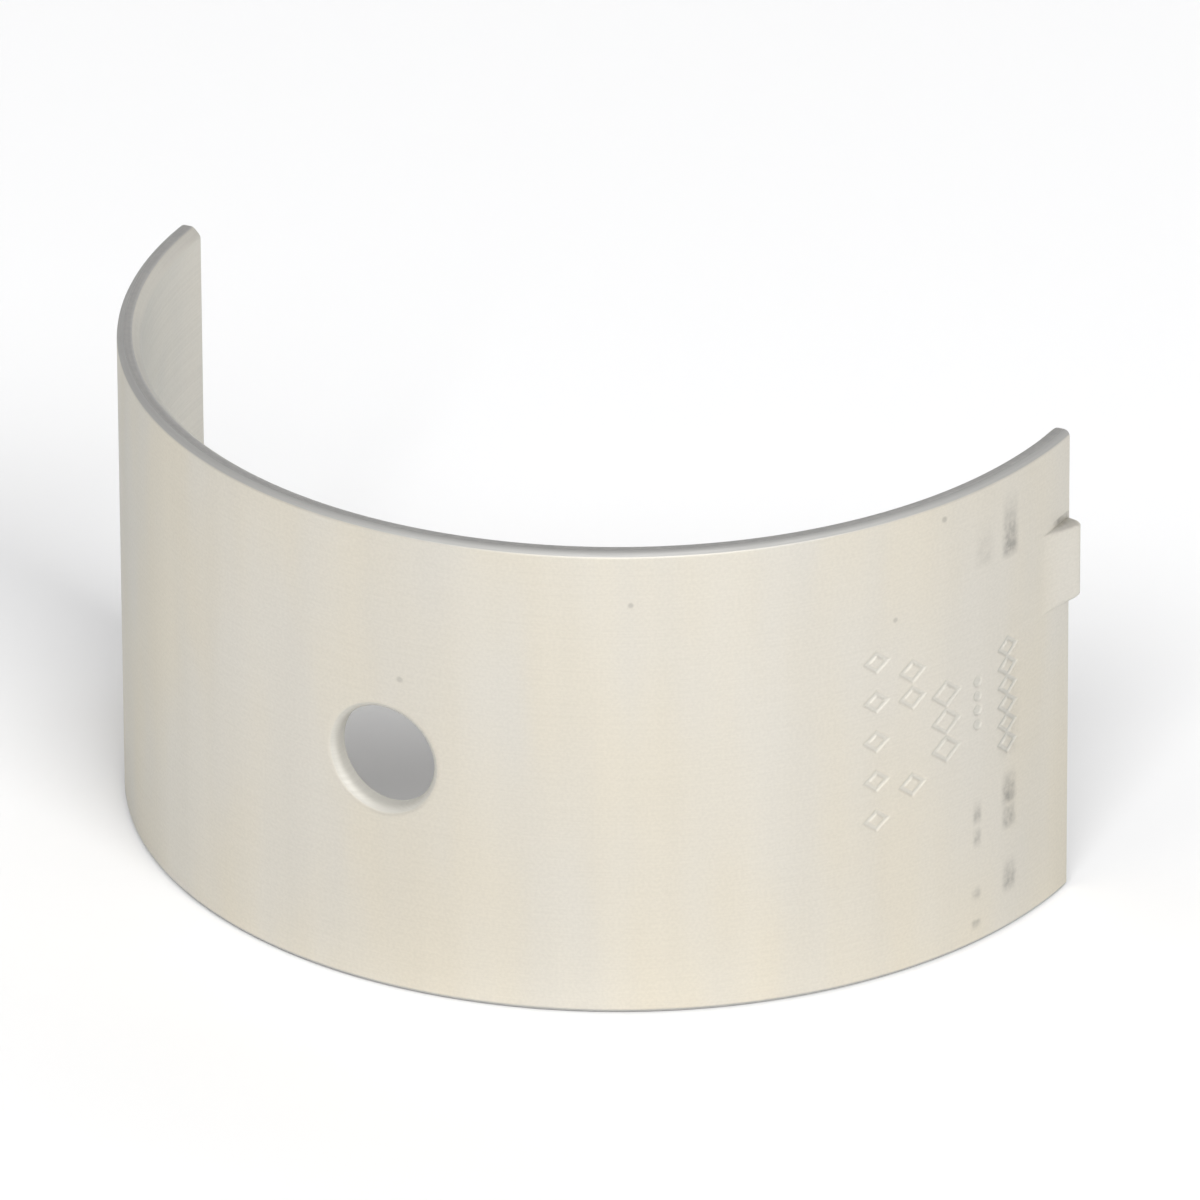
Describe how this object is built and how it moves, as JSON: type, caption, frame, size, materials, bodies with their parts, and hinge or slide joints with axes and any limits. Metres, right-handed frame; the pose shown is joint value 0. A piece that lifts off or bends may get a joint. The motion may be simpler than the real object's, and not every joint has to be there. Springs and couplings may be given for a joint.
{
  "type": "engine bearing shell",
  "caption": "Thin half-round shell for a split plain bearing, with chamfered ends, a drilled oil hole at the crown and a locating tang bent out at a joint face.",
  "frame": {"origin": "on the journal axis, at the lower end face", "axes": "+Z along the journal axis, up, with the shell standing on an end face; -Y through the oil hole at the crown; +X towards the joint face with the tang; the parting plane is y = 0"},
  "size_m": [0.0771, 0.038, 0.0385],
  "materials": {
    "plated_shell": "satin tin flash, pale warm grey"
  },
  "bodies": {
    "root": {"bearing_shell": "plated_shell"}
  },
  "joints": []
}
